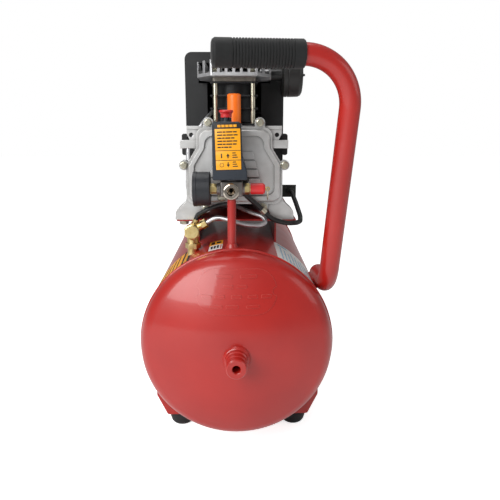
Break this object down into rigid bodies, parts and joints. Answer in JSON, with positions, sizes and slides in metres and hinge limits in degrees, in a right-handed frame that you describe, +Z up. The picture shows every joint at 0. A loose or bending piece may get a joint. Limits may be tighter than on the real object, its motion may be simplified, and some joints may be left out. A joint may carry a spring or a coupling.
{
  "type": "hotdog air compressor",
  "caption": "Horizontal-tank portable air compressor: finned piston pump and motor on the tank, switch column with gauge and relief valve, gripped handle, rubber feet and wheels.",
  "frame": {"origin": "on the floor below the middle of the tank, halfway between the two end ports", "axes": "+Z up, +Y along the tank towards the wheels, -Y towards the outlet end and the carrying grip, +X to the right of someone facing the outlet"},
  "size_m": [0.3812, 0.7822, 0.652],
  "materials": {
    "red_paint": "gloss enamel",
    "grip_black": "ribbed soft rubber",
    "cast_aluminium": "die-cast, blasted",
    "gasket_paper": "pressed gasket sheet",
    "zinc_steel": "zinc plated",
    "glass_clear": "clear window",
    "orange_plastic": "moulded",
    "black_iron": "black enamelled casting",
    "valve_steel": "ground",
    "machined_aluminium": "machined",
    "dark_steel": "turned",
    "lamination_steel": "stacked laminations with varnished winding",
    "shroud_black": "moulded, fine grain",
    "filter_black": "moulded",
    "fan_plastic": "moulded",
    "diecast_grey": "die-cast zinc, dull",
    "switch_slate": "moulded",
    "red_plastic": "moulded",
    "nickel": "nickel plated",
    "brass": "machined",
    "gauge_black": "black enamel",
    "needle_black": "matt",
    "pipe_aluminium": "drawn tube",
    "cable_black": "smooth jacket",
    "gland_grey": "moulded nylon",
    "foot_rubber": "moulded",
    "tyre_rubber": "moulded tread",
    "hub_plastic": "moulded",
    "bearing_steel": "ground"
  },
  "bodies": {
    "frame": {"tank_shell": "red_paint", "tank_head_front": "red_paint", "tank_head_rear": "red_paint", "end_bosses": "red_paint", "drain_valve": "brass", "stand_pipe": "red_paint", "pump_saddle": "red_paint", "front_foot_bracket": "red_paint", "rubber_feet": "foot_rubber", "rear_axle_brackets": "red_paint", "stub_axles": "zinc_steel", "handle_tube": "red_paint", "handle_grip": "grip_black", "crankcase": "cast_aluminium", "cover_gasket": "gasket_paper", "crankcase_cover": "cast_aluminium", "sight_glass": "glass_clear", "oil_drain_plug": "zinc_steel", "hex_bolts": "zinc_steel", "breather_cap": "orange_plastic", "cylinder": "black_iron", "cylinder_studs": "zinc_steel", "valve_plate": "valve_steel", "cylinder_head": "machined_aluminium", "air_filter": "filter_black", "shaft_bearings": "bearing_steel", "motor_stator": "lamination_steel", "motor_housing": "cast_aluminium", "motor_shields": "cast_aluminium", "fan_shroud": "shroud_black", "switch_manifold": "diecast_grey", "switch_cover": "switch_slate", "outlet_fitting": "nickel", "brass_nipples": "brass", "gauge_case": "gauge_black", "gauge_lens": "glass_clear", "relief_valve": "brass", "relief_cap": "red_plastic", "check_valve": "brass", "discharge_pipe": "pipe_aluminium", "unloader_hose": "cable_black", "motor_lead": "cable_black", "cable_glands": "gland_grey", "lead_clip": "zinc_steel"},
    "motor_rotor": {"motor_shaft": "dark_steel", "motor_rotor": "lamination_steel", "cooling_fan": "fan_plastic", "crank_web": "dark_steel"},
    "piston": {"piston": "machined_aluminium", "piston_pins": "dark_steel", "connecting_rod": "machined_aluminium"},
    "wheel_left": {"wheel_hub_left": "hub_plastic", "tyre_left": "tyre_rubber"},
    "wheel_right": {"wheel_hub_right": "hub_plastic", "tyre_right": "tyre_rubber"},
    "on_off_knob": {"switch_knob": "red_plastic"},
    "relief_stem": {"relief_stem": "brass"},
    "relief_ring": {"relief_ring": "zinc_steel"},
    "gauge_needle": {"gauge_needle": "needle_black"},
    "drain_tap": {"drain_tap": "brass"}
  },
  "joints": [
    {"name": "motor_spin", "type": "hinge", "parent": "frame", "child": "motor_rotor", "pos_m": [-0.003, 0, 0.466], "axis": [0, 1, 0], "continuous": true},
    {"name": "piston_stroke", "type": "slide", "parent": "frame", "child": "piston", "axis": [0, 0, 1], "range_m": [-0.041, 0]},
    {"name": "wheel_left_spin", "type": "hinge", "parent": "frame", "child": "wheel_left", "pos_m": [-0.17, 0.19, 0.075], "axis": [1, 0, 0], "continuous": true},
    {"name": "wheel_right_spin", "type": "hinge", "parent": "frame", "child": "wheel_right", "pos_m": [0.17, 0.19, 0.075], "axis": [1, 0, 0], "continuous": true},
    {"name": "on_off_pull", "type": "slide", "parent": "frame", "child": "on_off_knob", "axis": [0, 0, 1], "range_m": [0, 0.008]},
    {"name": "relief_lift", "type": "slide", "parent": "frame", "child": "relief_stem", "axis": [1, 0, 0], "range_m": [0, 0.003], "stiffness_N_per_m": 1500, "springref_m": -0.002},
    {"name": "ring_swing", "type": "hinge", "parent": "relief_stem", "child": "relief_ring", "pos_m": [0.048, -0.27, 0.4355], "axis": [0, -1, 0], "range_deg": [0, 90]},
    {"name": "gauge_sweep", "type": "hinge", "parent": "frame", "child": "gauge_needle", "pos_m": [-0.056, -0.27, 0.4355], "axis": [1, 0, 0], "range_deg": [0, 270], "stiffness_Nm_per_rad": 0.0005, "springref_deg": -11.46},
    {"name": "drain_turn", "type": "hinge", "parent": "frame", "child": "drain_tap", "pos_m": [0, -0.08, 0.027], "axis": [0, -1, 0], "range_deg": [0, 90]}
  ]
}
